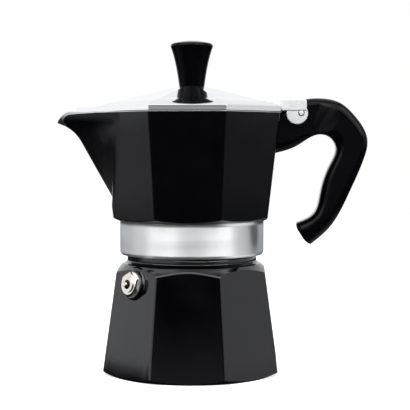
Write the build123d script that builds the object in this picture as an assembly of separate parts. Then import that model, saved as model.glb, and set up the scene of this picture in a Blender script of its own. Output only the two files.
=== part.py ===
from build123d import *
from math import acos, atan2, cos, degrees, hypot, pi, radians, sin, sqrt, tan
import os

# Stovetop moka pot, millimetres. The origin is the centre of the boiler's base
# on the table, +Z is up, +X points to the handle and -X to the pouring spout.
# Both castings are octagonal, with flats that face +-X and +-Y.

# ---------------------------------------------------------------- dimensions
# Boiler casting
boiler_height = 50.6           # table to the top of a facet
boiler_base_corner = 44.8      # corner radius of the octagon at the table
boiler_top_corner = 37.55      # corner radius at boiler_height
boiler_wall = 3.0
boiler_floor = 3.2
boiler_foot_radius = 41.0      # where the scalloped bottom edge begins
boiler_foot_rise = 2.1         # how far that edge lifts at the corners
shoulder_radius = 33.0         # inner edge of the domed shoulder
shoulder_rise = 1.6            # shoulder top above the facets
corner_rounding = 0.9          # rounding of every upright casting edge

# Threaded neck and the skirt that screws over it
neck_radius = 30.9
neck_wall = 3.5
neck_height = 13.8             # above the shoulder
thread_clearance = 0.3         # neck to skirt, per side
skirt_wall = 3.2
skirt_gap = 4.7                # shoulder to the skirt's lower edge
skirt_height = 15.55
skirt_edge = 0.8               # chamfer on the skirt's lower edge

# Safety valve, square to the facet between the spout and the front
valve_azimuth = 225.0
valve_height = 43.8
valve_boss_radius = 6.5
valve_boss_height = 1.7
valve_pad_radius = 8.0
valve_pad_depth = 1.6
valve_shank_radius = 4.2
valve_shank_length = 8.0
valve_hex_flats = 10.0
valve_hex_height = 1.9
valve_lip_radius = 3.7
valve_lip_height = 0.55
valve_mouth_radius = 2.2
valve_mouth_depth = 2.6
valve_web = 0.8
valve_bore_radius = 2.85
valve_washer_radius = 5.9
valve_washer_thickness = 0.5
valve_pin_radius = 1.0
valve_pin_reach = 1.9          # pin end beyond the hexagon
valve_disc_thickness = 1.0
valve_seat_thickness = 1.4
valve_seat_hole = 1.4
valve_travel = 1.5
spring_wire = 0.3              # wire radius
spring_turns = 4
spring_radius = 1.9
running_clearance = 0.08       # per side, shafts in holes
thread_fit = 0.04              # per side, screwed or pressed pieces

# Funnel
cup_clearance = 0.6            # cup to the neck's bore, per side
cup_depth = 21.0
cup_wall = 0.9
cup_cone_height = 7.0
funnel_rim_thickness = 0.9
funnel_rim_inset = 0.5         # rim edge inside the neck's outer edge
stem_radius = 5.2
stem_wall = 1.1
stem_floor_gap = 2.6           # stem end above the boiler's floor
stem_collar = 5.0              # length of stem inside the cup's socket
grid_thickness = 0.8
grid_hole = 0.9
grid_rings = 4
grid_pitch = 5.4

# Gasket and filter plate
gasket_thickness = 3.5
gasket_inner_radius = 25.8
plate_clearance = 0.3
plate_thickness = 0.8
plate_hole = 0.75
plate_rings = 4
plate_pitch = 5.2

# Collector casting
collector_base_corner = 39.15  # corner radius at its lower edge
collector_rim_corner = 45.4    # corner radius at the rim
collector_height = 50.25       # lower edge to rim
collector_lead = 1.2           # cone under the facets' lower edge
collector_wall = 2.6
collector_floor = 5.6          # gasket seat to the inside floor
dome_radius = 23.0             # steam dome over the filter plate
dome_rise = 3.2
column_base_radius = 9.0
column_top_radius = 5.6
column_height = 41.0
column_bore = 3.4
column_cap = 1.6
column_cap_bevel = 1.6
spigot_radius = 5.5            # end of the riser pressed into the collector's floor
window_width = 4.6             # the two windows are one cut across the riser
window_height = 7.0

# Pouring spout: a fold out of the -X flat
spout_start = 6.1              # fold begins this far above the casting's lower edge
spout_lean = 0.546             # how far the ridge comes out per millimetre of height
spout_bend_height = 36.5       # where the straight ridge turns into the lip's curve
spout_bend_radius = 18.0
spout_bend_angle = 47.0
spout_wall = 2.4
spout_half_width = 27.1        # fold's half width at the rim
spout_lip_back = 7.6           # lip's level stretch behind its tip
spout_lip_rise = 1.3           # lip above the collector's rim
spout_sections = 6

# Lid
lid_seat_gap = 0.06
lid_apothem = 42.45
lid_rim_height = 2.5
lid_wall = 1.7
lid_skin = 1.8
lid_break_apothem = 31.0       # straight slope turns into the rounded shoulder
lid_slope = 0.262
lid_seat_apothem = 6.6
lid_rise = 13.3                # rim plane to the knob's seat
beak_reach = 55.1
beak_tip_rise = 2.6
beak_ridge_root = 31.0
beak_side_rise = 2.9
beak_gap = 0.12

# Lid hinge
hinge_x = 52.05
hinge_z = 123.5
hinge_width = 16.0
hinge_top = 130.12
hinge_ridge_start = 30.6
hinge_back = 54.6
hinge_corner = 1.6
hinge_plate_edge = 124.6
hinge_slot_front = 43.4
ear_gap = 5.8                  # half the room between the ears
ear_recess = 0.4
ear_lobe_radius = 5.1
ear_lobe_offset = 1.95
ear_lobe_drop = 0.2
pin_radius = 1.3
pin_overhang = 0.1
lug_thickness = 5.0
lug_depth = 10.0               # hinge axis to the lug's lower corner
lug_end_radius = 3.4
lug_side_clearance = 0.1

# Handle
handle_width = 17.0
handle_reach = 31.4            # hinge axis to the outermost point of the grip
handle_top = 130.6
handle_drop = 69.3             # top of the grip to the tip of its lower end
handle_end_rise = 1.5          # how far the lower end's face bulges
handle_end_inset = 2.4         # how far that bulge draws in at its edge
nose_clearance = 0.4           # nose to each ear
nose_length = 8.35             # narrow part of the handle behind the hinge axis
nose_blend = 7.0
nose_share = 0.17              # share of the handle's length where it starts to widen
nose_blend_share = 0.13
handle_sections = 15
handle_nose_drop = 0.3         # nose top under the collector's rim
handle_foot_z = 104.6          # lower end of the face against the collector
handle_bevel = 2.2
handle_foot_gap = 0.02

# Knob and its fixing
knob_base_radius = 6.0
knob_waist_radius = 7.1
knob_rim_radius = 10.2
knob_height = 20.9
knob_edge = 1.4                # rounding of the rim
knob_crown = 1.2               # rise of the domed top
insert_radius = 3.2
insert_length = 10.0
screw_radius = 1.9
screw_hole_clearance = 0.3
screw_head_radius = 3.6
screw_head_height = 2.4
knob_washer_radius = 5.6
knob_washer_thickness = 1.0

# ---------------------------------------------------------- derived levels
SIDES = 8
HALF_SIDE = 180.0 / SIDES
TO_APOTHEM = cos(radians(HALF_SIDE))
BASE_ALIGN = (Align.CENTER, Align.CENTER, Align.MIN)

shoulder_z = boiler_height + shoulder_rise
neck_top = shoulder_z + neck_height
skirt_z = shoulder_z + skirt_gap
skirt_radius = neck_radius + thread_clearance + skirt_wall
skirt_bore = neck_radius + thread_clearance
gasket_z = neck_top + funnel_rim_thickness
seat_z = gasket_z + gasket_thickness
collector_z = skirt_z + skirt_height + collector_lead
rim_z = collector_z + collector_height
floor_z = seat_z + collector_floor
lid_z = rim_z + lid_seat_gap
knob_z = rim_z + lid_rise
neck_bore = neck_radius - neck_wall
cup_radius = neck_bore - cup_clearance
cup_bottom_z = neck_top - cup_depth
stem_z = boiler_floor + stem_floor_gap
plate_radius = gasket_inner_radius - plate_clearance
nose_half = ear_gap - nose_clearance
boiler_slope = (boiler_base_corner - boiler_top_corner) * TO_APOTHEM / boiler_height
collector_slope = (collector_rim_corner - collector_base_corner) * TO_APOTHEM / collector_height


def boiler_apothem(z):
    """Distance from the axis to a boiler facet at height z."""
    return boiler_base_corner * TO_APOTHEM - boiler_slope * z


def collector_apothem(z):
    """Distance from the axis to a collector facet at height z."""
    return collector_base_corner * TO_APOTHEM + collector_slope * (z - collector_z)


def octagonal_taper(apothem_low, apothem_high, z_low, z_high, rounding=0.0):
    """Upright octagonal block whose facets lean evenly."""
    lean = degrees(atan2(apothem_low - apothem_high, z_high - z_low))
    outline = RegularPolygon(apothem_low / TO_APOTHEM, SIDES, rotation=HALF_SIDE)
    block = extrude(Plane.XY.offset(z_low) * outline, z_high - z_low, taper=lean)
    if rounding > 0:
        level = (z_low + z_high) / 2
        block = fillet([e for e in block.edges() if abs(e.center().Z - level) < 1.0], rounding)
    return block


def turned(*corners):
    """Solid of revolution about Z from the (radius, height) corners of its section."""
    return revolve(Plane.XZ * make_face(Polyline(*corners, close=True)), Axis.Z)


def tube(outer, inner, z_low, z_high):
    """Plain ring about Z."""
    return turned((inner, z_low), (outer, z_low), (outer, z_high), (inner, z_high))


def rod(radius, z_low, z_high):
    """Plain round bar about Z."""
    return Pos(0, 0, z_low) * Cylinder(radius, z_high - z_low, align=BASE_ALIGN)


def side_view(outline, half_width):
    """Plate with the given XZ outline, spread evenly to both sides of the centre plane."""
    return extrude(Plane.XZ * outline, half_width, both=True)


def hole_rings(hole, rings, pitch, z_low, z_high):
    """Centre hole and rings of holes, six more in each ring than in the last."""
    places = [Pos(0, 0)]
    for ring in range(1, rings + 1):
        places += [loc for loc in PolarLocations(ring * pitch, 6 * ring)]
    cutter = Sketch() + [place * Circle(hole) for place in places]
    return extrude(Plane.XY.offset(z_low) * cutter, z_high - z_low)


# ------------------------------------------------------------------- boiler
def valve_plane():
    """Work plane on the valve's facet, square to it, Z outwards."""
    reach = boiler_apothem(valve_height)
    bearing = radians(valve_azimuth)
    out = Vector(cos(bearing), sin(bearing), boiler_slope)
    across = Vector(-sin(bearing), cos(bearing), 0)
    return Plane(Vector(reach * cos(bearing), reach * sin(bearing), valve_height), across, out)


def on_valve(radius, start, end):
    """Round bar on the valve's axis from start to end, measured out of the facet."""
    bar = Pos(0, 0, start) * Cylinder(radius, end - start, align=BASE_ALIGN)
    return valve_plane() * bar


def boiler():
    """Octagonal water vessel with a scalloped foot, domed shoulder and threaded neck."""
    high = shoulder_z
    body = octagonal_taper(boiler_apothem(0), boiler_apothem(high), 0, high, corner_rounding)
    foot_lean = boiler_foot_rise / (boiler_base_corner - boiler_foot_radius)
    reach = boiler_base_corner + 6
    dome = make_face([
        Line((0, 0), (boiler_foot_radius, 0)),
        Line((boiler_foot_radius, 0), (reach, (reach - boiler_foot_radius) * foot_lean)),
        Line((reach, (reach - boiler_foot_radius) * foot_lean), (reach, boiler_height - 6)),
        Line((reach, boiler_height - 6), (boiler_top_corner, boiler_height - 1.8)),
        ThreePointArc(
            (boiler_top_corner, boiler_height - 1.8),
            (boiler_apothem(boiler_height), boiler_height),
            (shoulder_radius, shoulder_z)),
        Line((shoulder_radius, shoulder_z), (0, shoulder_z)),
        Line((0, shoulder_z), (0, 0))])
    body = body & revolve(Plane.XZ * dome, Axis.Z)
    body += turned(
        (0, boiler_height - 4), (neck_radius + 1.2, boiler_height - 4),
        (neck_radius + 1.2, shoulder_z), (neck_radius, shoulder_z + 1.2),
        (neck_radius, neck_top - 0.8), (neck_radius - 0.8, neck_top), (0, neck_top))
    body += on_valve(valve_boss_radius, -boiler_wall / 2, valve_boss_height)
    inside_low = boiler_apothem(boiler_floor) - boiler_wall
    inside_high = boiler_apothem(boiler_height - 6) - boiler_wall
    chamber = turned(
        (0, boiler_floor), (inside_low - 4, boiler_floor), (inside_low, boiler_floor + 4),
        (inside_high, boiler_height - 6), (neck_bore, boiler_height), (neck_bore, neck_top + 1),
        (0, neck_top + 1))
    pad = on_valve(valve_pad_radius, -boiler_wall - valve_pad_depth, -boiler_wall / 2)
    body = body - chamber + pad
    return body - on_valve(valve_shank_radius + thread_fit, -20, valve_boss_height + 1)


# ------------------------------------------------------------- safety valve
def valve_face():
    """How far the hexagon's outer face stands off the facet."""
    return valve_boss_height + valve_washer_thickness + valve_hex_height


def valve_inner_end():
    """Inner end of the threaded shank, negative because it lies inside the boiler."""
    return valve_boss_height + valve_washer_thickness - valve_shank_length


def valve_washer():
    """Flat sealing washer between the hexagon and the boss."""
    ring = on_valve(valve_washer_radius, valve_boss_height,
                    valve_boss_height + valve_washer_thickness)
    return ring - on_valve(valve_shank_radius + thread_fit, 0, valve_face())


def valve_body():
    """Hexagon-headed plug, bored through in two diameters with a web between them."""
    seat = valve_face() - valve_hex_height
    flats = RegularPolygon(valve_hex_flats / 2, 6, major_radius=False, rotation=30)
    head = valve_plane() * (Pos(0, 0, seat) * extrude(flats, valve_hex_height))
    crown = turned(
        (0, -1), (valve_hex_flats * 0.62, -1), (valve_hex_flats * 0.62, valve_hex_height - 0.9),
        (valve_hex_flats * 0.47, valve_hex_height), (0, valve_hex_height))
    head = head & (valve_plane() * (Pos(0, 0, seat) * crown))
    body = head + on_valve(valve_lip_radius, seat, valve_face() + valve_lip_height)
    body += on_valve(valve_shank_radius, valve_inner_end(), seat)
    mouth = valve_face() - valve_mouth_depth
    body -= on_valve(valve_mouth_radius, mouth, valve_face() + 5)
    body -= on_valve(valve_pin_radius + running_clearance, mouth - 5, valve_face())
    return body - on_valve(valve_bore_radius, valve_inner_end() - 1, mouth - valve_web)


def valve_seat():
    """Ring pressed into the plug's inner end; the piston's disc closes its hole."""
    start = valve_inner_end()
    ring = on_valve(valve_bore_radius - thread_fit, start, start + valve_seat_thickness)
    return ring - on_valve(valve_seat_hole, start - 1, start + valve_seat_thickness + 1)


def valve_piston():
    """Disc on the seat with a pin that passes the web and shows in the mouth."""
    start = valve_inner_end() + valve_seat_thickness
    disc = on_valve(valve_bore_radius - 2 * running_clearance, start,
                    start + valve_disc_thickness)
    pin = on_valve(valve_pin_radius, start, valve_face() + valve_pin_reach)
    tip = [e for e in pin.edges() if (valve_plane().to_local_coords(e.center())).Z > valve_face()]
    return disc + chamfer(tip, 0.3)


def valve_spring():
    """Helical spring between the piston's disc and the web."""
    start = valve_inner_end() + valve_seat_thickness + valve_disc_thickness + spring_wire
    end = valve_face() - valve_mouth_depth - valve_web - spring_wire
    coil = Helix((end - start) / spring_turns, end - start, spring_radius)
    wire = sweep(Plane(origin=coil @ 0, z_dir=coil % 0) * Circle(spring_wire), path=coil)
    return valve_plane() * (Pos(0, 0, start) * wire)


# ------------------------------------------------------------------- funnel
def funnel_cup():
    """Coffee basket: flanged rim on the neck, straight wall and cone with a socket."""
    socket = stem_radius + thread_fit
    rim = neck_radius - funnel_rim_inset
    cone_end = cup_bottom_z - cup_cone_height
    top = neck_top + funnel_rim_thickness
    return turned(
        (rim, neck_top), (rim, top), (cup_radius - cup_wall, top),
        (cup_radius - cup_wall, cup_bottom_z), (socket, cone_end), (socket, cone_end - stem_collar),
        (socket + cup_wall, cone_end - stem_collar), (socket + cup_wall, cone_end - 0.4),
        (cup_radius, cup_bottom_z - 0.4), (cup_radius, neck_top))


def funnel_stem():
    """Tube from the cup's socket to just above the boiler's floor, slightly tapered."""
    top = cup_bottom_z - cup_cone_height
    low = stem_radius - 0.7
    collar = top - stem_collar
    return turned(
        (low - stem_wall, stem_z), (low, stem_z), (stem_radius, collar), (stem_radius, top),
        (stem_radius - stem_wall, top), (stem_radius - stem_wall, collar))


def funnel_grid():
    """Perforated disc that carries the ground coffee, wedged in the cup's corner."""
    disc = rod(cup_radius - cup_wall - thread_fit, cup_bottom_z, cup_bottom_z + grid_thickness)
    holes = hole_rings(grid_hole, grid_rings, grid_pitch, cup_bottom_z - 1, cup_bottom_z + 2)
    return disc - holes


# -------------------------------------------------- seal and filter plate
def gasket():
    """Sealing ring between the funnel's rim and the collector."""
    return tube(skirt_bore - thread_clearance, gasket_inner_radius, gasket_z, seat_z)


def filter_plate():
    """Perforated plate held by the gasket under the steam dome."""
    disc = rod(plate_radius, seat_z - plate_thickness, seat_z)
    return disc - hole_rings(plate_hole, plate_rings, plate_pitch, seat_z - 2, seat_z + 1)


# ---------------------------------------------------------------- collector
def spout_ridge(shift):
    """Points (distance from the axis, height) up the spout's keel, moved inwards by shift."""
    start_z = collector_z + spout_start
    bend_z = collector_z + spout_bend_height
    start_x = collector_apothem(start_z)
    bend_x = start_x + spout_lean * (bend_z - start_z)
    heading = atan2(1, spout_lean)
    points = [(start_x - shift, start_z), (bend_x - shift, bend_z)]
    for step in range(1, spout_sections + 1):
        turn = radians(spout_bend_angle) * step / spout_sections
        chord = 2 * spout_bend_radius * sin(turn / 2)
        bearing = heading - turn / 2
        points.append((bend_x - shift + chord * cos(bearing), bend_z + chord * sin(bearing)))
    return points


def spout_fold(shift, nose):
    """Wedge under the lip: level sections from the -X flat out to the keel."""
    start_z = collector_z + spout_start
    sections = []
    ridge = spout_ridge(shift)
    ridge.append((ridge[-1][0] + 2.0, rim_z + spout_lip_rise + 3))
    for reach, z in ridge:
        share = (z - start_z) / (rim_z - start_z)
        flat_half = collector_apothem(z) * tan(radians(HALF_SIDE))
        half = flat_half + (spout_half_width - rim_flat_half()) * share - shift
        root = sqrt(2) * collector_apothem(z) - half - 1.5 * shift
        tip = max(reach, root + 0.3)
        section = Polyline(
            (-root + 9, half), (-root, half), (-tip + nose * 0.8, nose), (-tip, 0),
            (-tip + nose * 0.8, -nose), (-root, -half), (-root + 9, -half), close=True)
        sections.append(Plane.XY.offset(z) * make_face(section))
    return loft(sections, ruled=True)


def rim_flat_half():
    """Half the width of a facet at the rim."""
    return collector_apothem(rim_z) * tan(radians(HALF_SIDE))


def lip_outline(lift):
    """Side view of everything under the rim, the lip's edge and lift above both."""
    tip_x, tip_z = spout_ridge(0)[-1]
    back = tip_x - spout_lip_back
    lip_z = rim_z + spout_lip_rise
    return make_face([
        Line((60, skirt_z - 5), (60, rim_z + lift)),
        Line((60, rim_z + lift), (-lid_apothem - 0.8, rim_z + lift)),
        Line((-lid_apothem - 0.8, rim_z + lift), (-back, lip_z + lift)),
        ThreePointArc((-back, lip_z + lift), (-back - 0.72 * spout_lip_back, lip_z + lift - 2.7),
                      (-tip_x, tip_z + lift)),
        Line((-tip_x, tip_z + lift), (-tip_x - 4, tip_z + lift)),
        Line((-tip_x - 4, tip_z + lift), (-tip_x - 4, skirt_z - 5)),
        Line((-tip_x - 4, skirt_z - 5), (60, skirt_z - 5))])


def riser():
    """Tapered riser pressed into the floor, with a bore, a closed top and two windows."""
    top = floor_z + column_height
    body = turned(
        (0, seat_z + dome_rise), (spigot_radius, seat_z + dome_rise), (spigot_radius, floor_z),
        (column_base_radius, floor_z), (column_top_radius, top - column_cap),
        (column_top_radius - column_cap_bevel, top), (0, top))
    window = Pos(0, 0, top - column_cap - window_height / 2) * Box(
        window_width, 4 * column_top_radius, window_height)
    return body - window - rod(column_bore, seat_z, top - column_cap)


def hinge_lug():
    """Upright tongue on the +X flat that the handle slides over."""
    root = collector_apothem(hinge_z - lug_depth) - collector_wall / 2
    low = hinge_z - lug_depth
    blade = make_face(Polyline(
        (root, rim_z - 0.4), (root, low), (hinge_x, hinge_z - lug_end_radius),
        (hinge_x, hinge_z + lug_end_radius), (hinge_slot_front + 1.5, rim_z - 0.4), close=True))
    end = across_hinge(lug_end_radius, lug_thickness / 2)
    return side_view(blade, lug_thickness / 2) + end


def across_hinge(radius, half_length):
    """Round bar on the hinge axis, even to both sides."""
    return Pos(hinge_x, 0, hinge_z) * Rot(90, 0, 0) * Cylinder(radius, 2 * half_length)


def collector():
    """Upper jug in one casting: threaded skirt, floor, spout and handle lug."""
    top = rim_z + 6
    jug = octagonal_taper(collector_apothem(collector_z - collector_lead),
                          collector_apothem(top), collector_z - collector_lead, top, corner_rounding)
    lead = turned(
        (0, collector_z - collector_lead), (skirt_radius + 0.3, collector_z - collector_lead),
        (collector_base_corner + 0.6, collector_z + 0.9), (70, collector_z + 0.9), (70, top), (0, top))
    jug = (jug & lead) + spout_fold(0, 1.0)
    well = octagonal_taper(collector_apothem(floor_z) - collector_wall,
                           collector_apothem(top) - collector_wall, floor_z, top, 2.0)
    channel = spout_fold(spout_wall, 0.6) & Pos(-60, 0, 0) * Box(90, 90, 400)
    jug = jug - well - channel
    jug = jug & side_view(lip_outline(0), 80)
    jug += rod(skirt_radius, skirt_z, floor_z - 1)
    jug += hinge_lug()
    jug -= rod(skirt_bore, skirt_z - 1, seat_z)
    jug -= turned((0, seat_z - 1), (dome_radius, seat_z - 1), (dome_radius, seat_z),
                  (spigot_radius, seat_z + dome_rise), (0, seat_z + dome_rise))
    jug -= rod(spigot_radius + thread_fit, seat_z, floor_z + 1)
    edge = skirt_radius + 1
    jug -= turned((edge, skirt_z - 1), (edge, skirt_z + skirt_edge + 1),
                  (skirt_radius - skirt_edge - 1, skirt_z - 1))
    return jug - across_hinge(pin_radius + thread_fit, hinge_width)


# ---------------------------------------------------------------------- lid
def lid_vault(apothem, base_z, drop):
    """Eight-sided dome: the common part of four straight vaults with one section."""
    break_z = knob_z - lid_slope * (lid_break_apothem - lid_seat_apothem)
    rim_top = rim_z + lid_rim_height
    shrink = lid_apothem - apothem
    middle_a = (lid_break_apothem + lid_apothem) / 2
    middle_z = (break_z + rim_top) / 2 + 0.35
    half = [
        Line((0, base_z), (apothem, base_z)),
        Line((apothem, base_z), (apothem, rim_top - drop)),
        ThreePointArc((apothem, rim_top - drop), (middle_a - shrink, middle_z - drop),
                      (lid_break_apothem - shrink, break_z - drop)),
        Line((lid_break_apothem - shrink, break_z - drop), (lid_seat_apothem, knob_z - drop)),
        Line((lid_seat_apothem, knob_z - drop), (0, knob_z - drop)),
        Line((0, knob_z - drop), (0, base_z))]
    face = make_face(half)
    strip = side_view(face, 2 * lid_apothem) + side_view(mirror(face, Plane.YZ), 2 * lid_apothem)
    vault = strip
    for turn in (45, 90, 135):
        vault = vault & (Rot(0, 0, turn) * strip)
    return vault


def beak(shrink):
    """Roof of the lid over the spout, drawn in by shrink for its hollow."""
    tip = beak_reach - 2.4 * shrink
    low = rim_z - 2
    small = Polyline((-0.7, low), (-0.7, rim_z + beak_tip_rise - 0.4 - shrink),
                     (0, rim_z + beak_tip_rise - shrink),
                     (0.7, rim_z + beak_tip_rise - 0.4 - shrink), (0.7, low), close=True)
    half = spout_half_width - shrink
    crest = knob_z - lid_slope * (beak_ridge_root - lid_seat_apothem) - shrink
    side = rim_z + beak_side_rise - shrink
    large = Polyline((-half, low), (-half, side), (0, crest), (half, side), (half, low),
                     close=True)
    faces = [Plane.YZ.offset(-tip) * make_face(small),
             Plane.YZ.offset(-beak_ridge_root) * make_face(large)]
    return loft(faces, ruled=True)


def hinge_block():
    """Ridge, bracket and two ears at the back of the lid."""
    bracket = make_face([
        Line((hinge_ridge_start, hinge_top), (hinge_back - hinge_corner, hinge_top)),
        RadiusArc((hinge_back - hinge_corner, hinge_top),
                  (hinge_back, hinge_top - hinge_corner), hinge_corner),
        Line((hinge_back, hinge_top - hinge_corner), (hinge_back, hinge_plate_edge)),
        Line((hinge_back, hinge_plate_edge), (lid_apothem - 2, hinge_plate_edge)),
        Line((lid_apothem - 2, hinge_plate_edge), (hinge_ridge_start, hinge_top))])
    block = side_view(bracket, hinge_width / 2)
    lobe = (Pos(hinge_x - ear_lobe_offset, 0, hinge_z - ear_lobe_drop) * Rot(90, 0, 0)
            * Cylinder(ear_lobe_radius, hinge_width - 2 * ear_recess))
    block += lobe
    slot = Pos(hinge_slot_front, 0, hinge_z) * Box(
        40, 2 * ear_gap, 40, align=(Align.MIN, Align.CENTER, Align.CENTER))
    block = block - slot
    return block - across_hinge(pin_radius + running_clearance, hinge_width)


def lid():
    """Octagonal domed lid with a beak over the spout and a forked hinge bracket."""
    outer = lid_vault(lid_apothem, lid_z, 0)
    roof = beak(0) & side_view(lip_shadow(), 60)
    hollow = lid_vault(lid_apothem - lid_wall, lid_z - 5, lid_skin)
    under = beak(lid_skin) & side_view(lip_shadow(-4), 60)
    cover = outer + roof + (hinge_block() - rod(lid_apothem - lid_wall - 1, lid_z - 9, lid_z))
    cover = cover - (hollow - hinge_stiffener()) - under
    pad = turned((0, knob_z - lid_skin - 0.6), (lid_seat_apothem + 2.4, knob_z - lid_skin - 0.6),
                 (lid_seat_apothem + 2.4, knob_z - lid_skin), (0, knob_z - 0.5))
    return cover + pad - rod(screw_radius + screw_hole_clearance, lid_z, knob_z + 1)


def hinge_stiffener():
    """Solid corner left inside the rim under the hinge bracket."""
    return Pos(lid_apothem, 0, lid_z + 4) * Box(2 * lid_wall, hinge_width, 8)


def lip_shadow(drop=0.0):
    """Everything above the spout's edge, so that the beak clears it."""
    tip_x = spout_ridge(0)[-1][0]
    low = rim_z + beak_gap + drop
    lip = rim_z + spout_lip_rise + beak_gap + drop
    back = tip_x - spout_lip_back
    inner = lid_apothem + 0.8
    return make_face(Polyline(
        (0, low), (-inner, low), (-back, lip), (-80, lip), (-80, rim_z + 30), (0, rim_z + 30),
        close=True))


# ------------------------------------------------------------ knob and pins
def knob_insert():
    """Threaded bush moulded into the knob."""
    return tube(insert_radius, screw_radius + thread_fit, knob_z, knob_z + insert_length)


def lid_knob():
    """Waisted knob with a rounded rim and a shallow domed top."""
    top = knob_z + knob_height
    rim = top - knob_crown - knob_edge
    crown = knob_rim_radius - knob_edge
    crown_radius = (crown ** 2 + knob_crown ** 2) / (2 * knob_crown)
    section = make_face([
        Line((0, knob_z), (knob_base_radius, knob_z)),
        Spline((knob_base_radius, knob_z), (knob_waist_radius, knob_z + 7.1),
               (knob_rim_radius - 0.9, rim - 2.7), (knob_rim_radius, rim)),
        RadiusArc((knob_rim_radius, rim), (crown, rim + knob_edge), -knob_edge),
        RadiusArc((crown, rim + knob_edge), (0, top), -crown_radius),
        Line((0, top), (0, knob_z))])
    body = revolve(Plane.XZ * section, Axis.Z)
    return body - rod(insert_radius + thread_fit, knob_z - 1, knob_z + insert_length)


def washer_z():
    """Underside of the lid at the screw."""
    return knob_z - lid_skin - 0.6


def knob_washer():
    """Flat washer under the lid."""
    high = washer_z()
    return tube(knob_washer_radius, screw_radius + screw_hole_clearance,
                high - knob_washer_thickness, high)


def knob_screw():
    """Slotted pan-head screw up through the lid into the knob's bush."""
    seat = washer_z() - knob_washer_thickness
    low = seat - screw_head_height
    body = turned(
        (0, low), (screw_head_radius - 0.8, low), (screw_head_radius, low + 0.8),
        (screw_head_radius, seat), (screw_radius, seat),
        (screw_radius, knob_z + insert_length - 1), (0, knob_z + insert_length - 1))
    return body - Pos(0, 0, low) * Box(3 * screw_head_radius, 0.9, 1.8)


def hinge_pin():
    """Steel pin through the ears, the handle's nose and the collector's lug."""
    half = hinge_width / 2 - ear_recess + pin_overhang
    pin = across_hinge(pin_radius, half)
    return chamfer(pin.edges().filter_by(GeomType.CIRCLE), 0.25)


# ------------------------------------------------------------------- handle
def grip_section(outer, inner, half_width, bevel):
    """Bevelled rectangle across the handle between two points of its side curves."""
    out = Vector(outer.X, 0, outer.Y)
    inside = Vector(inner.X, 0, inner.Y)
    across = out - inside
    plane = Plane((out + inside) / 2, x_dir=(0, 1, 0), z_dir=across.cross(Vector(0, 1, 0)))
    outline = Rectangle(2 * half_width, across.length)
    return plane * chamfer(outline.vertices(), bevel)


def on_handle(out, down):
    """Side-view point at a share of the handle's reach beyond the hinge and of its drop."""
    return hinge_x + out * handle_reach, handle_top - down * handle_drop


def handle_profiles():
    """Outer and inner side curves of the handle, both from the nose to the hooked end."""
    nose_z = rim_z - handle_nose_drop
    nose_x = collector_apothem(nose_z) + handle_foot_gap
    foot_x = collector_apothem(handle_foot_z) + handle_foot_gap
    outer = Spline((nose_x, nose_z), on_handle(-0.04, 0.02), on_handle(0.285, 0.0),
                   on_handle(0.559, 0.026), on_handle(0.807, 0.121), on_handle(0.998, 0.286),
                   on_handle(0.941, 0.418), on_handle(0.718, 0.654), on_handle(0.428, 0.885),
                   on_handle(0.151, 1.0))
    inner = Spline((foot_x, handle_foot_z), on_handle(-0.065, 0.326), on_handle(0.291, 0.247),
                   on_handle(0.463, 0.274), on_handle(0.527, 0.343), on_handle(0.438, 0.455),
                   on_handle(0.295, 0.646), on_handle(0.196, 0.788), on_handle(-0.059, 0.854))
    return outer, inner


def handle_half_width(share):
    """Half width at a share of the handle's length: narrow nose, full grip, tapered end."""
    grip = handle_width / 2
    rise = min(max((share - nose_share) / nose_blend_share, 0), 1)
    end = max(share - 0.9, 0) * 10
    return nose_half + (grip - nose_half) * rise ** 2 * (3 - 2 * rise) - end


def handle():
    """Phenolic handle: bevelled grip, narrow nose between the ears, slotted for the lug."""
    outer, inner = handle_profiles()
    shares = [step / handle_sections for step in range(handle_sections + 1)]
    body = loft([grip_section(outer @ share, inner @ share, handle_half_width(share),
                              handle_bevel) for share in shares])
    end_face = grip_section(outer @ 1, inner @ 1, handle_half_width(1), handle_bevel)
    body += extrude(end_face, -handle_end_rise,
                    taper=degrees(atan2(handle_end_inset, handle_end_rise)))
    root_x = hinge_x - handle_width
    wide_x = hinge_x + nose_length + nose_blend
    flank = Polyline((root_x, nose_half), (wide_x - nose_blend, nose_half),
                     (wide_x, handle_width / 2), (wide_x, handle_width),
                     (root_x, handle_width), close=True)
    side = extrude(Plane.XY.offset(handle_foot_z) * make_face(flank), handle_drop)
    body = body - side - mirror(side, Plane.XZ)
    room = lug_side_clearance
    slot = Pos(hinge_x + lug_end_radius + room, 0, hinge_z + lug_end_radius + room) * Box(
        30, lug_thickness + 2 * room, lug_depth + lug_end_radius + 2 * room,
        align=(Align.MAX, Align.CENTER, Align.MAX))
    notch = Pos(hinge_slot_front + 2 * nose_clearance, 0, rim_z - lid_seat_gap)
    notch = notch * Box(20, handle_width, 20, align=(Align.MAX, Align.CENTER, Align.MIN))
    return body - slot - notch - across_hinge(pin_radius + thread_fit, hinge_width)


# -------------------------------------------------------------------- write
SUBPARTS = [
    boiler, valve_washer, valve_body, valve_seat, valve_piston, valve_spring,
    funnel_cup, funnel_stem, funnel_grid, gasket, filter_plate, collector, riser,
    lid, lid_knob, knob_insert, knob_washer, knob_screw, handle, hinge_pin]

os.makedirs("parts", exist_ok=True)
for make in SUBPARTS:
    export_step(make(), "parts/" + make.__name__ + ".step")
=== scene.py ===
# %% [markdown]
# A stovetop moka pot, dressed around its CAD frame.
# The frame holds the working parts at their real size. This lesson adds what the eye
# reads: lacquered castings with soft edges, a turned aluminium band, a polished lid,
# a moulded handle. Each shape is a formula over a grid, so a learner can change one
# number and see the form follow.

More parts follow.
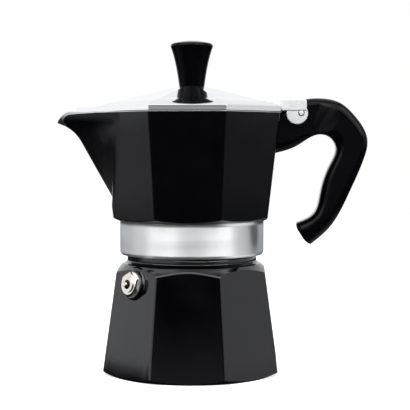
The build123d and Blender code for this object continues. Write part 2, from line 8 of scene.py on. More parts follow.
# %% Load the frame
import bpy
import numpy as np
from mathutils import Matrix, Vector


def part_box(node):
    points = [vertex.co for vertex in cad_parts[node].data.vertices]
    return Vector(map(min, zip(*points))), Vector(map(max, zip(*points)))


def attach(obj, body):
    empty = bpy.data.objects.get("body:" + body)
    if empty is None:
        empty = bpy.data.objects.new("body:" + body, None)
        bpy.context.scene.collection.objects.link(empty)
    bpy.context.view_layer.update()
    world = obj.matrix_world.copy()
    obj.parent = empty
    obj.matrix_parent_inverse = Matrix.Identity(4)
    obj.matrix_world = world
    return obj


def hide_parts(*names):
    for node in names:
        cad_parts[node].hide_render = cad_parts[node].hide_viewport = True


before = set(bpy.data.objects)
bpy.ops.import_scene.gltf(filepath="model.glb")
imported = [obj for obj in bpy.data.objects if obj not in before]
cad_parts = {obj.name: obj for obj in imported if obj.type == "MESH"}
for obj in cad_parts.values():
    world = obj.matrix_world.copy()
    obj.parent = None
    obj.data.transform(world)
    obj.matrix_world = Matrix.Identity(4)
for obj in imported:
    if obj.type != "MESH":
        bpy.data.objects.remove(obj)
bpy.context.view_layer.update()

# %% [markdown]
# Camera first. A product photographer stands well back with a long lens, so that the
# pot's upright edges stay almost parallel. The camera looks slightly down and a little
# to the right of the pot's axis.

# %% Camera
MM = 0.001
camera_data = bpy.data.cameras.new("camera")
camera_data.sensor_width = 36.0
camera_data.lens = 108.5
camera = bpy.data.objects.new("camera", camera_data)
bpy.context.scene.collection.objects.link(camera)
camera.location = Vector((30.7, -592.2, 107.1)) * MM
camera_aim = Vector((-0.0411, 0.9981, -0.0462))
camera.rotation_mode = "QUATERNION"
camera.rotation_quaternion = camera_aim.to_track_quat("-Z", "Y")
camera_data.clip_start, camera_data.clip_end = 0.01, 20.0
bpy.context.scene.camera = camera
print("camera", round(camera.location.length, 3), "m from the pot's foot")

# %% [markdown]
# Colours are written as the hex values that a paint chart or a picture editor gives.
# Blender's shaders want linear light, so one function undoes the sRGB curve. One more
# small function adds a shader node: an input that is given another node's output is
# linked to it, and any other input is set.


# %% Colour and node helpers
def srgb(code):
    """Linear RGBA of an sRGB hex colour: below 0.04045 divide by 12.92, else a 2.4 power."""
    value = np.array([int(code[i:i + 2], 16) for i in (0, 2, 4)]) / 255.0
    linear = np.where(value <= 0.04045, value / 12.92, ((value + 0.055) / 1.055) ** 2.4)
    return (*linear.tolist(), 1.0)


def add(tree, kind, inputs=(), **settings):
    """Adds a node with its settings, then links or sets each of its inputs."""
    node = tree.nodes.new(kind)
    for name, value in settings.items():
        setattr(node, name, value)
    for name, value in dict(inputs).items():
        if isinstance(value, bpy.types.NodeSocket):
            tree.links.new(value, node.inputs[name])
        else:
            node.inputs[name].default_value = value
    return node


def new_material(name):
    """A material with an empty tree, its output and its Object coordinates in metres."""
    material = bpy.data.materials.new(name)
    material.use_nodes = True
    tree = material.node_tree
    tree.nodes.clear()
    output = add(tree, "ShaderNodeOutputMaterial")
    place = add(tree, "ShaderNodeTexCoord").outputs["Object"]
    return material, tree, output, place


def noise(tree, place, size_mm, detail=2.0, stretch=(1, 1, 1)):
    """Noise whose features are about size_mm wide, drawn out along an axis by stretch."""
    scaled = add(tree, "ShaderNodeMapping", {
        "Vector": place, "Scale": [1000.0 / size_mm / s for s in stretch]})
    return add(tree, "ShaderNodeTexNoise", {
        "Vector": scaled.outputs["Vector"], "Scale": 1.0, "Detail": detail}).outputs["Fac"]


def spread(tree, value, low, high, start=0.0, end=1.0):
    """Maps value from start..end to low..high."""
    return add(tree, "ShaderNodeMapRange", {
        "Value": value, "From Min": start, "From Max": end, "To Min": low,
        "To Max": high}).outputs["Result"]


def product(tree, first, second):
    """One value times another."""
    return add(tree, "ShaderNodeMath", {0: first, 1: second}, operation="MULTIPLY").outputs[0]


def larger(tree, first, second):
    """The larger of two values."""
    return add(tree, "ShaderNodeMath", {0: first, 1: second}, operation="MAXIMUM").outputs[0]


def blended(tree, factor, first, second):
    """The first value where the factor is 0, the second where it is 1."""
    return add(tree, "ShaderNodeMix", {
        "Factor": factor, "A": first, "B": second}).outputs["Result"]


def layered(tree, factor, first, second):
    """The first shader where the factor is 0, the second where it is 1."""
    return add(tree, "ShaderNodeMixShader", {0: factor, 1: first, 2: second}).outputs[0]


def bump(tree, height, depth_mm):
    """Turns a height from 0 to 1 into a bent normal, depth_mm deep."""
    return add(tree, "ShaderNodeBump", {
        "Height": height, "Strength": 1.0, "Distance": depth_mm * MM}).outputs["Normal"]


print("black lacquer's linear value:", round(srgb("0a0a0b")[0], 4))

# %% [markdown]
# All the finishes share one recipe. A fine grain bends the surface, as the tool, the
# mould or the spray left it. A broad haze lets the roughness drift, and the colour
# where there are two, because no real surface is as even as a computed one.


# %% The recipe of a finish
def finished(name, colours, grain, depth_mm, haze, gloss, inputs=(), turned=False):
    """A Principled material. Grain and haze are what noise wants: a size in mm, a detail
    and a stretch. Gloss is the lowest and highest roughness. A turned finish takes its
    tangent round the pot's axis."""
    material, tree, output, place = new_material(name)
    drift = noise(tree, place, *haze)
    inputs = dict(inputs, Normal=bump(tree, noise(tree, place, *grain), depth_mm))
    inputs["Base Color"] = srgb(colours[0])
    if len(colours) == 2:
        inputs["Base Color"] = add(tree, "ShaderNodeMix", {
            "Factor": drift, "A": srgb(colours[0]), "B": srgb(colours[1])},
            data_type="RGBA").outputs["Result"]
    if gloss:
        inputs["Roughness"] = spread(tree, drift, *gloss, 0.3, 0.7)
    if turned:
        inputs["Tangent"] = add(tree, "ShaderNodeTangent", direction_type="RADIAL",
                                axis="Z").outputs[0]
    shader = add(tree, "ShaderNodeBsdfPrincipled", inputs)
    tree.links.new(shader.outputs[0], output.inputs["Surface"])
    return material


METAL = {"Metallic": 1.0}
BLACK = ("010102", "040405")
print("a finish takes a grain, a haze, a gloss and one or two colours")

# %% [markdown]
# The castings are sprayed with black stoving lacquer. It lies as a thin glassy film,
# so it mirrors the room, with the faint waviness that painters call orange peel. A
# film has no colour of its own in its reflections, which is why it is a dielectric
# with a low roughness and not a metal.

# %% Black stoving lacquer
# A deep black that mirrors the room, a little wavy.
lacquer = finished("black_stoving_lacquer", BLACK, (1.6,), 0.004, (14.0, 4.0),
                   (0.05, 0.11), {"IOR": 1.5})
print("made", lacquer.name)

# %% [markdown]
# The band under the jug is bare aluminium, turned on a lathe after painting. The tool
# leaves rings a tenth of a millimetre apart, which draw each highlight out along the
# pot's axis. Rings that fine vanish at this distance, so they are drawn 0.5 mm apart.
# The threads, seats and the inner walls are bare too: machined where something seats
# on them and dull as-cast elsewhere.

# %% Aluminium finishes
# Upright highlights that run across fine level rings.
band_metal = finished(
    "turned_aluminium", ["e8e9ea"], (0.5, 3.0, (400, 400, 1)), 0.004,
    (3.0, 2.0, (60, 60, 1)), (0.3, 0.42),
    {"Metallic": 1.0, "Anisotropic": 0.85, "Anisotropic Rotation": 0.25}, turned=True)
# Grey, grainy and dull, as it leaves the mould.
cast_metal = finished("as_cast_aluminium", ("b4b5b6", "cfd0d1"), (0.7, 4.0), 0.03,
                      (9.0, 3.0), (0.42, 0.58), METAL)
# A clear mirror with the faint lines of the buffing wheel.
mirror_metal = finished("polished_aluminium", ["dcdddf"], (0.35, 3.0, (1, 30, 1)), 0.001,
                        (11.0, 3.0), (0.05, 0.1), METAL)
# An even pale grey that shows shape and mirrors nothing.
satin_metal = finished("tumbled_aluminium", ["cfd0d2"], (0.5, 4.0), 0.01, (6.0, 3.0),
                       (0.5, 0.6), METAL)
print("made", band_metal.name, cast_metal.name, mirror_metal.name, satin_metal.name)

# %% [markdown]
# Handle and knob are phenolic, a hard resin pressed in a heated mould. A fine leathery
# unevenness from the mould's own texture, a little deeper on the handle, breaks up the
# sheen. The valve and the bush are nickel-plated brass, screw and spring are bright
# steel, funnel and filter are pressed sheet, and the gasket is pale silicone.

# %% Phenolic, plated brass, steel, sheet and silicone
RESIN = {"IOR": 1.5, "Specular IOR Level": 0.08}
# Black with a weak, soft sheen.
knob_resin = finished("polished_phenolic", BLACK, (0.45, 3.0), 0.003, (12.0, 3.0),
                      (0.12, 0.18), RESIN)
handle_resin = finished("satin_phenolic", BLACK, (0.45, 3.0), 0.004, (12.0, 3.0),
                        (0.12, 0.17), RESIN)
# Warm and bright.
plated_brass = finished("nickel_plated_brass", ["d2cec6"], (0.6, 3.0), 0.004, (4.0, 2.0),
                        (0.12, 0.22), METAL)
# Cooler and darker than the aluminium.
steel = finished("bright_steel", ["bfc0c3"], (0.4, 3.0), 0.004, (4.0, 2.0),
                 (0.16, 0.28), METAL)
# Pale, with soft reflections.
sheet_metal = finished("pressed_aluminium_sheet", ["d0d1d3"], (0.8, 3.0), 0.002,
                       (4.0, 2.0), (0.34, 0.4), METAL)
# Matt and off-white, the only soft thing on the pot.
silicone = finished("moulded_silicone", ("dcdbd3", "ebeae3"), (0.8, 4.0), 0.01,
                    (0.8, 4.0), None, {"Roughness": 0.55, "IOR": 1.41})
print("made", len(bpy.data.materials), "materials")

# %% [markdown]
# The frame's own solids take these finishes, both those that stay in view, such as the
# valve and the filter, and those that a detailed piece will stand for.

# %% Finishes of the frame's solids
for finish, node_names in (
        (plated_brass, ("valve_body", "valve_seat", "valve_piston", "knob_insert")),
        (steel, ("valve_spring", "hinge_pin", "knob_screw", "knob_washer")),
        (sheet_metal, ("valve_washer", "funnel_cup", "funnel_stem", "funnel_grid",
                       "filter_plate")),
        (silicone, ("gasket",)), (lacquer, ("boiler", "collector")),
        (mirror_metal, ("lid",)), (cast_metal, ("riser",)),
        (knob_resin, ("lid_knob",)), (handle_resin, ("handle",))):
    for node_name in node_names:
        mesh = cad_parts[node_name].data
        mesh.materials.clear()
        mesh.materials.append(finish)
    print(finish.name, "on", *node_names)

# %% [markdown]
# The room. The camera sees a white paper sweep. Mirror-like rays see a studio: a
# brighter wall on the left than on the right, a dim ceiling, and a dark flag in front.
# Photographers darken glossy black goods that way. The front facet mirrors the flag
# and stays black, while the side facets mirror the white walls.


# %% World
LEFT_WALL, RIGHT_WALL, CEILING = 1.3, 0.9, 0.2
FLAG_HEADING, FLAG_EDGE, FLAG_MIDDLE, FLAG_FOOT = (0.2, -0.98, 0.0), 0.72, 0.9, 0.6


def studio_world():
    world = bpy.data.worlds.new("studio")
    bpy.context.scene.world = world
    world.use_nodes = True
    tree = world.node_tree
    tree.nodes.clear()
    output = add(tree, "ShaderNodeOutputWorld")
    rays = add(tree, "ShaderNodeLightPath").outputs
    heading = add(tree, "ShaderNodeTexCoord").outputs["Generated"]
    side = add(tree, "ShaderNodeSeparateXYZ", {"Vector": heading}).outputs
    facing = add(tree, "ShaderNodeVectorMath", {0: heading, 1: FLAG_HEADING},
                 operation="DOT_PRODUCT").outputs["Value"]
    flag = spread(tree, facing, 0.0, 1.0, FLAG_EDGE, FLAG_MIDDLE)
    dark = product(tree, flag, spread(tree, side["Z"], FLAG_FOOT, 1.0, 0.02, 0.12))
    walls = spread(tree, side["X"], LEFT_WALL, RIGHT_WALL, -1.0, 1.0)
    overhead = spread(tree, side["Z"], 1.0, CEILING, 0.8, 0.95)
    mirrored = product(tree, product(tree, walls, overhead), spread(tree, dark, 1.0, 0.0))
    soft, glossy, white = [
        add(tree, "ShaderNodeBackground", {"Color": srgb(code), "Strength": strength})
        .outputs[0] for code, strength in (("f4f6f8", 0.55), ("fbfcff", mirrored), ("ffffff", 1.0))]
    with_gloss = layered(tree, rays["Is Glossy Ray"], soft, glossy)
    seen = larger(tree, rays["Is Camera Ray"], rays["Is Transmission Ray"])
    tree.links.new(layered(tree, seen, with_gloss, white), output.inputs["Surface"])


studio_world()
bpy.context.scene.view_settings.view_transform = "Standard"
print("world made: walls", LEFT_WALL, "and", RIGHT_WALL, "ceiling", CEILING)

# %% [markdown]
# The floor is the same white paper. It is lit by the lamps and glows a little, so that
# it meets the white background with no line, and it still shows the pot's shadow. In
# the pot's mirror-like faces it shows a painted reflection instead of its lit paper: a
# darker table, brighter on the left than on the right, with painted shade from the flag
# on its front and behind the pot, and a painted highlight beside it under the handle. It
# brightens with distance until it becomes the walls.


# %% Floor
# Strengths of the floor's painted reflection: the table on the left and on the right, and the
# flag's painted shade.
LEFT_PAINTED_REFLECTION, RIGHT_PAINTED_REFLECTION, FLAG_SHADE = 0.42, 0.16, 0.01


def paper_floor():
    half = 3.0
    mesh = bpy.data.meshes.new("floor")
    mesh.from_pydata([(-half, -half, 0), (half, -half, 0), (half, half, 0), (-half, half, 0)],
                     [], [(0, 1, 2, 3)])
    floor = bpy.data.objects.new("floor", mesh)
    bpy.context.scene.collection.objects.link(floor)
    material, tree, output, place = new_material("white_paper")

    def glow(code, strength):
        return add(tree, "ShaderNodeEmission", {
            "Color": srgb(code), "Strength": strength}).outputs[0]

    lit = add(tree, "ShaderNodeBsdfDiffuse", {
        "Normal": bump(tree, noise(tree, place, 1.2, 4.0), 0.02), "Color": srgb("f2f2f1")})
    both = add(tree, "ShaderNodeAddShader", {0: lit.outputs[0], 1: glow("ffffff", 0.5)})
    away = add(tree, "ShaderNodeVectorMath", {0: place}, operation="LENGTH").outputs["Value"]
    seen = layered(tree, spread(tree, away, 0.0, 1.0, 0.35, 1.4), both.outputs[0],
                   glow("ffffff", 1.0))
    # Painted reflection from here on: what mirror-like rays see of the floor is a glow, not the lit
    # paper.
    heading = add(tree, "ShaderNodeVectorMath", {0: place}, operation="NORMALIZE")
    side = add(tree, "ShaderNodeSeparateXYZ", {"Vector": heading.outputs[0]}).outputs
    # Painted shade: the flag darkens the floor's front, and the reflection is darker behind the
    # pot.
    flag = spread(tree, product(tree, side["Y"], -1.0), 0.0, 1.0, 0.35, 0.72)
    behind = spread(tree, side["Y"], 1.0, 0.15, 0.08, 0.3)
    # The painted table reflection, brighter on the left than on the right.
    painted_table_reflection = product(tree, product(tree, spread(tree, away, 0.03, 1.0, 0.16, 0.5), spread(
        tree, side["X"], LEFT_PAINTED_REFLECTION, RIGHT_PAINTED_REFLECTION, -1.0, 1.0)), behind)
    # A painted highlight on the floor beside the pot, under the handle, seen only in reflections.
    painted_light_under_handle = product(tree, spread(tree, side["X"], 0.0, 1.3, 0.7, 0.9),
                           spread(tree, away, 1.0, 0.0, 0.12, 0.25))
    shaded = blended(tree, flag, larger(tree, painted_table_reflection, painted_light_under_handle), FLAG_SHADE)
    distance = product(tree, away, spread(tree, side["Y"], 1.0, 0.5, 0.08, 0.3))
    walls = blended(tree, flag, spread(tree, side["X"], LEFT_WALL, RIGHT_WALL, -1.0, 1.0),
                    1 - FLAG_FOOT)
    level = blended(tree, spread(tree, distance, 0.0, 1.0, 0.9, 1.5), shaded, walls)
    glossy = add(tree, "ShaderNodeLightPath").outputs["Is Glossy Ray"]
    tree.links.new(layered(tree, glossy, seen, glow("fbfcff", level)),
                   output.inputs["Surface"])
    mesh.materials.append(material)


paper_floor()
print("floor laid")

# %% [markdown]
# Four soft boxes light what is rough: the band, the castings' inside and the paper. The
# right one is stronger than the left, and a broad one hangs above the camera.


# %% Lamps
def soft_lamp(name, place, size, watts):
    """A square softbox at place, turned to the middle of the pot."""
    data = bpy.data.lights.new(name, "AREA")
    data.shape, data.size, data.energy = "SQUARE", size, watts
    lamp = bpy.data.objects.new(name, data)
    bpy.context.scene.collection.objects.link(lamp)
    lamp.location = Vector(place)
    lamp.rotation_mode = "QUATERNION"
    lamp.rotation_quaternion = (Vector((0, 0, 0.08)) - lamp.location).to_track_quat("-Z", "Y")


for lamp_row in (("key_left", (-0.9, -0.7, 0.85), 1.0, 9.0),
                 ("fill_right", (0.9, -0.7, 0.85), 1.0, 13.0),
                 ("top", (0.0, 0.3, 1.3), 0.8, 4.0), ("front", (0.0, -1.0, 1.0), 1.6, 20.0)):
    soft_lamp(*lamp_row)
    print("lamp", *lamp_row, "watts")

# %% [markdown]
# Every casting here is read the same way: stand on the pot's axis, look along each of
# several hundred headings, and ask how far off the metal is. An octagon is then the
# distance to the nearest of eight walls, and a moving average along the headings wears
# its corners round, as sand and polishing wheels do. Heights and radii stay in
# millimetres until the mesh is made.

# %% Headings and rings
HEADINGS = 400
EIGHTH = np.pi / 4


def crowded_headings():
    """Headings that crowd where a form turns: a density along the circle, one everywhere
    and more by each of the eight corners and by the spout, is summed up and inverted."""
    turn = np.linspace(0, 2 * np.pi, 20001)
    from_corner = (turn % EIGHTH) - EIGHTH / 2
    density = 1 + 2 * np.exp(-(from_corner / 0.05) ** 2)
    density += 3 * np.exp(-((turn - np.pi) / 0.1) ** 2)
    total = np.concatenate([[0], np.cumsum((density[1:] + density[:-1]) / 2)])
    return np.interp(np.arange(HEADINGS) / HEADINGS * total[-1], total, turn)


heading = crowded_headings()


def node_box(node):
    """Lowest and highest corner of a CAD node in millimetres."""
    low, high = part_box(node)
    return np.array(low) / MM, np.array(high) / MM


def worn(field, passes=2):
    """Rounds a field along its headings: moving averages over three neighbours."""
    for _ in range(passes):
        field = (np.roll(field, 1, axis=-1) + field + np.roll(field, -1, axis=-1)) / 3
    return field


def across_facets():
    """Corner-rounded octagon of apothem 1: one over the cosine from the facet's middle."""
    from_middle = (heading + EIGHTH / 2) % EIGHTH - EIGHTH / 2
    rounded = np.minimum(worn(1 / np.cos(from_middle), 3), 1 / np.cos(from_middle))
    return rounded / rounded.min()


def rings(radius, height):
    """Points (radius cos, radius sin, height) for arrays that end in the headings' axis."""
    ones = np.ones(HEADINGS)
    radius, height = np.broadcast_arrays(radius * ones, height * ones)
    return np.stack([radius * np.cos(heading), radius * np.sin(heading), height], axis=-1)


facet = across_facets()
print("octagon reaches", round(float(facet.max()), 4), "times its apothem at the corners")

# %% [markdown]
# No edge of a casting is sharp. A corner between two rings is therefore replaced by a
# small curve, which catches a line of light as the real edge does.

# %% Eased corners
LEAD, BEND_SHARE, LEAD_SHARE = 1.3, 0.4, 0.46


def length(vectors):
    """Lengths along the last axis, kept as a column and never quite zero."""
    return np.linalg.norm(vectors, axis=-1, keepdims=True) + 1e-9


def toward(here, there, reach, limit):
    """The place reach millimetres from here towards there, within a share of the way."""
    return here + (there - here) * np.minimum(reach / length(there - here), limit)


def quadratic(start, here, end, share):
    """Quadratic curve from start to end, drawn towards here."""
    return (1 - share) ** 2 * start + 2 * share * (1 - share) * here + share ** 2 * end


def eased(levels, reaches, finishes=None, steps=4):
    """Path of rings whose corners are eased: at each ring a quadratic curve starts and
    ends reach millimetres away along both neighbours and bends towards the ring. One
    more ring just outside each end keeps the flats flat in the shading. The finish of
    the strip that follows each ring is carried along, and changes mid-corner."""
    finishes = [0] * len(levels) if finishes is None else finishes
    share = np.linspace(0, 1, steps + 1)[:, None, None]
    path, strips = [levels[0][None]], [finishes[0]]
    for k in range(1, len(levels) - 1):
        before, here, after, reach = levels[k - 1], levels[k], levels[k + 1], reaches[k]
        if reach == 0:
            path.append(here[None])
            strips.append(finishes[k])
            continue
        start = toward(here, before, reach, BEND_SHARE)
        end = toward(here, after, reach, BEND_SHARE)
        path += [toward(here, before, LEAD * reach, LEAD_SHARE)[None],
                 quadratic(start, here, end, share),
                 toward(here, after, LEAD * reach, LEAD_SHARE)[None]]
        half = steps // 2 + 1
        strips += [finishes[k - 1]] * half + [finishes[k]] * (steps + 3 - half)
    path.append(levels[-1][None])
    strips.append(finishes[-1])
    return np.concatenate(path), np.array(strips)


print("bends stay within", BEND_SHARE, "of the way to the next ring")

# %% [markdown]
# A piece is a grid of points, row by row round the form. Its faces are counted off the
# same grid, so that every skin is closed and faces outward.


# %% Mesh makers
def mesh_piece(name, points, faces, finishes, face_finish=None, sharp=None):
    """Makes the object: points in millimetres, faces as index rows, finishes by face."""
    mesh = bpy.data.meshes.new(name)
    mesh.from_pydata((np.asarray(points) * MM).tolist(), [], faces)
    for finish in finishes:
        mesh.materials.append(finish)
    if face_finish is not None:
        mesh.polygons.foreach_set("material_index", np.asarray(face_finish, np.int32))
    mesh.polygons.foreach_set("use_smooth", np.ones(len(mesh.polygons), bool))
    if sharp is not None:
        mesh.set_sharp_from_angle(angle=np.radians(sharp))
    mesh.update()
    piece = bpy.data.objects.new(name, mesh)
    bpy.context.scene.collection.objects.link(piece)
    return piece


def grid_faces(rows, columns, closed=False):
    """Quads of a rows by columns grid, closed round the columns and, if asked, the rows."""
    i = np.arange(rows if closed else rows - 1)[:, None]
    j = np.arange(columns)[None, :]
    i2, j2 = (i + 1) % rows, (j + 1) % columns
    corners = [i * columns + j, i * columns + j2, i2 * columns + j2, i2 * columns + j]
    return np.stack(np.broadcast_arrays(*corners), axis=-1).reshape(-1, 4).tolist()


def fan(centre, first, columns, up):
    """Triangles from a centre point to the ring of points that starts at first."""
    step = np.arange(columns)
    pair = [first + step, first + (step + 1) % columns]
    return np.stack([np.full(columns, centre), *pair[::1 if up else -1]], axis=-1).tolist()


def shell(name, path, finishes, strips=None, closed=False):
    """Closed skin through a path of rings, with a fan at each end unless the last ring
    joins the first. Strips has the finish of what follows each ring."""
    rows, columns = path.shape[:2]
    strips = np.zeros(rows, int) if strips is None else strips
    points, faces = path.reshape(-1, 3), grid_faces(rows, columns, closed)
    index = [np.repeat(strips[:rows - 1 + closed], columns)]
    for row, up in () if closed else ((0, False), (rows - 1, True)):
        faces += fan(len(points), row * columns, columns, up)
        points = np.vstack([points, path[row].mean(axis=0)])
        index.append(np.full(columns, strips[row]))
    return mesh_piece(name, points, faces, finishes, np.concatenate(index))


def dress(piece, body, slot_name, *nodes):
    """Rides the piece on its body and lets it stand for CAD nodes. slot_name is not used."""
    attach(piece, body)
    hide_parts(*nodes)
    print(piece.name, len(piece.data.polygons), "faces on", body)


print("two rings of four points make", len(grid_faces(2, 4)), "faces")

# %% [markdown]
# The boiler is one die casting: eight leaning facets, a foot that lifts at each corner,
# a domed shoulder and a threaded neck. The foot and the shoulder are both cones cut by
# the facets, so their scalloped edges come from solving cone against wall for every
# heading. The thread is a helix: the neck's radius falls by a smooth ridge wave of
# height over pitch minus heading over a full turn.

# %% Boiler
TO_APOTHEM = np.cos(EIGHTH / 2)
neck_top = node_box("boiler")[1][2]
boiler_height, table_corner, top_corner = 50.6, 44.8, 37.55
shoulder_z, shoulder_radius = 52.2, 33.0
foot_radius, foot_rise, recess_radius, recess_depth = 41.0, 2.1, 24.0, 0.35
boiler_floor, boiler_wall, thread_start = 3.2, 3.0, shoulder_z + 3.6
neck_radius, neck_bore, thread_pitch, thread_depth = 30.9, 27.4, 2.5, 0.9
boiler_slope = (table_corner - top_corner) * TO_APOTHEM / boiler_height


def boiler_apothem(z):
    return table_corner * TO_APOTHEM - boiler_slope * z


def shoulder_at(radius):
    """Height of the domed shoulder: parabola through its three named points."""
    known = np.array([top_corner, boiler_apothem(boiler_height), shoulder_radius])
    heights = np.array([boiler_height - 1.8, boiler_height, shoulder_z])
    return np.polyval(np.polyfit(known, heights, 2), radius)


def thread_rings(radius, low, high, rows_per_turn=8):
    """Helical thread: radius less depth times a ridge wave of height minus heading."""
    z = np.arange(low, high, thread_pitch / rows_per_turn)[:, None]
    phase = (z / thread_pitch - heading / (2 * np.pi)) * 2 * np.pi
    ridge = np.clip(0.5 + 0.9 * np.cos(phase), 0, 1)
    ease = np.clip(np.minimum(z - low, high - z) / 1.2, 0, 1)
    return rings(radius - thread_depth * (1 - ridge) * ease, z)


def boiler_shell():
    lean = foot_rise / (table_corner - foot_radius)
    foot = facet * (boiler_apothem(0) + foot_radius * boiler_slope * lean) / (
        1 + facet * boiler_slope * lean)
    top = facet * boiler_apothem(boiler_height)
    for _ in range(8):
        top = facet * boiler_apothem(shoulder_at(top))
    outside = [rings(1.0, recess_depth), rings(recess_radius - 2.0, recess_depth),
               rings(recess_radius, 0), rings(foot_radius, 0),
               rings(foot, (foot - foot_radius) * lean), rings(top, shoulder_at(top))]
    reach = [0, 0.3, 0.3, 0.5, 0.45, 0.6]
    for share in (0.35, 0.7):
        radius = top + (shoulder_radius - top) * share
        outside.append(rings(radius, shoulder_at(radius)))
        reach.append(0)
    outside += [rings(shoulder_radius, shoulder_z), rings(neck_radius + 1.2, shoulder_z),
                rings(neck_radius, shoulder_z + 1.2)]
    reach += [0.6, 0.5, 0.3]
    thread = list(thread_rings(neck_radius, thread_start, neck_top - 1.0))
    inside = [rings(neck_radius, neck_top - 0.8), rings(neck_radius - 0.8, neck_top),
              rings(neck_bore, neck_top), rings(neck_bore, boiler_height),
              rings(boiler_apothem(boiler_height - 6) - boiler_wall, boiler_height - 6),
              rings(boiler_apothem(boiler_floor) - boiler_wall, boiler_floor + 4.0),
              rings(boiler_apothem(boiler_floor) - boiler_wall - 4.0, boiler_floor),
              rings(1.0, boiler_floor)]
    levels = outside + thread + inside
    reaches = reach + [0] * len(thread) + [0.2, 0.2, 0.3, 2.0, 3.0, 3.0, 3.0, 0]
    bare = [1 if ring[0, 2] > thread_start + 0.4 else 0 for ring in thread]
    finishes = [1] * 3 + [0] * (len(outside) - 3) + bare + [1, 1] + [2] * (len(inside) - 2)
    path, strips = eased(levels, reaches, finishes)
    return shell("boiler_shell", path, [lacquer, band_metal, cast_metal], strips)


dress(boiler_shell(), "base", "painted_aluminium", "boiler")

# %% [markdown]
# The safety valve's boss is a round pad on one facet, faced flat for the washer. It is
# a profile turned round the valve's own axis, with the soft fillet that a casting
# needs where the pad meets the wall.

# %% Valve boss
valve_azimuth, valve_height = np.radians(225.0), 43.8
boss_radius, boss_height, boss_fillet = 6.5, 1.7, 0.9


def around_axis(profile, origin, axis, columns=96):
    """Turns (radius, height) pairs round an axis that starts at origin."""
    axis = np.array(axis) / np.linalg.norm(axis)
    side = np.cross(axis, (0.0, 0.0, 1.0) if abs(axis[2]) < 0.9 else (1.0, 0.0, 0.0))
    side /= np.linalg.norm(side)
    angle = np.arange(columns) * 2 * np.pi / columns
    wheel = np.cos(angle)[:, None] * side + np.sin(angle)[:, None] * np.cross(axis, side)
    radius, height = np.array(profile, float).T
    return np.array(origin) + radius[:, None, None] * wheel + height[:, None, None] * axis


def valve_boss():
    tilt = np.arctan(boiler_slope)
    out = np.array([np.cos(valve_azimuth) * np.cos(tilt), np.sin(valve_azimuth) * np.cos(tilt),
                    np.sin(tilt)])
    apothem = boiler_apothem(valve_height)
    foot = np.array([np.cos(valve_azimuth) * apothem, np.sin(valve_azimuth) * apothem,
                     valve_height])
    face = boss_height - 0.01
    profile = [(boss_radius + 2.0, -0.8)]
    profile += [(boss_radius + boss_fillet * (1 - np.sin(a)),
                 boss_fillet * (1 - np.cos(a)) - 0.02) for a in np.linspace(0, np.pi / 2, 6)[:-1]]
    profile += [(boss_radius, boss_fillet + 0.1), (boss_radius, face), (0.5, face)]
    path = eased(list(around_axis(profile, foot, out)), [0] * 7 + [0.3, 0])[0]
    return shell("valve_boss", path, [lacquer])


dress(valve_boss(), "base", "painted_aluminium", "boiler")

# %% [markdown]
# The jug is one casting too, wider at the rim, with the pouring spout folded out of one
# flat. Off the axis, a wall of the fold lies at ridge over (cos + lean sin) of the
# angle from the spout, and the jug's outside is the farther of octagon and fold. The
# lip rises gently and then dips to the tip, so the top edge is found where wall and
# lip curve meet. The same functions, moved in by the wall, give the inside.

# %% Jug shape
jug_low = node_box("collector")[0]
skirt_z, tip_reach = jug_low[2], -jug_low[0]
neck_skirt, skirt_bore, seat_z, floor_z, riser_hole = 34.4, 31.2, 70.4, 76.0, 5.54
jug_z, rim_z, jug_base_corner, jug_rim_corner = 73.65, 123.9, 39.15, 45.4
jug_wall, spout_wall, lead_drop = 2.6, 2.4, 1.2
jug_slope = (jug_rim_corner - jug_base_corner) * TO_APOTHEM / (rim_z - jug_z)
spout_start, spout_bend, spout_lean = 79.75, 110.15, 0.546
bend_radius, bend_angle = 18.0, np.radians(47.0)
spout_half, lip_back, lip_rise, lip_dip, lip_bend = 27.1, 7.6, 0.6, 5.53, 1.9
lip_start, lip_crest = 43.25, 57.2
from_spout = np.minimum(np.abs(heading - np.pi), 2 * np.pi - np.abs(heading - np.pi))


def jug_apothem(z):
    return jug_base_corner * TO_APOTHEM + jug_slope * (z - jug_z)


def ridge_reach(z):
    """How far the spout's keel stands off the axis: a lean, an arc to the tip, and a
    fading run above it that only shapes the flanks, because the lip cuts it off."""
    start = jug_apothem(spout_start)
    bend = start + spout_lean * (spout_bend - spout_start)
    first = np.arctan2(1, spout_lean)
    turn = np.linspace(0, bend_angle, 24)
    arc_x = bend + bend_radius * (np.sin(first) - np.sin(first - turn))
    arc_z = spout_bend + bend_radius * (np.cos(first - turn) - np.cos(first))
    above = np.linspace(0.25, 10, 40)
    levels = np.concatenate([[spout_start], arc_z, arc_z[-1] + above])
    reaches = np.concatenate([[start], arc_x, arc_x[-1] + 5.5 * (1 - np.exp(-above / 1.6))])
    return np.interp(z, levels, reaches)


def fold_radius(z, inset):
    """Distance to the fold's wall: ridge over (cos + lean sin), where the fold exists."""
    share = (z - spout_start) / (rim_z - spout_start)
    eighth = np.tan(EIGHTH / 2)
    half = jug_apothem(z) * eighth + (spout_half - jug_apothem(rim_z) * eighth) * share - inset
    root = np.sqrt(2) * jug_apothem(z) - half - 1.5 * inset
    tip = np.maximum(ridge_reach(z) - inset, root + 0.3)
    blunt = 0.6 if inset else 1.0
    lean = (tip - 0.8 * blunt - root) / (half - blunt)
    wall = (tip - 0.8 * blunt + lean * blunt) / (np.cos(from_spout) + lean * np.sin(from_spout))
    inside = (wall * np.sin(from_spout) <= half) & (from_spout < np.pi / 2) & (z > spout_start)
    return np.where(inside, wall, 0.0)


def jug_radius(z, inset=0.0, spout_inset=0.0):
    """The octagon, or the fold's wall where the spout is folded out of it."""
    octagon = facet * (jug_apothem(z) - inset)
    fold = fold_radius(z, spout_inset)
    folded = worn(np.where(fold > 0, fold, octagon))
    reach_limit = (tip_reach - 0.02) / np.maximum(np.cos(from_spout), 0.3)
    return np.where(from_spout < 1.2, np.minimum(folded, reach_limit), octagon)


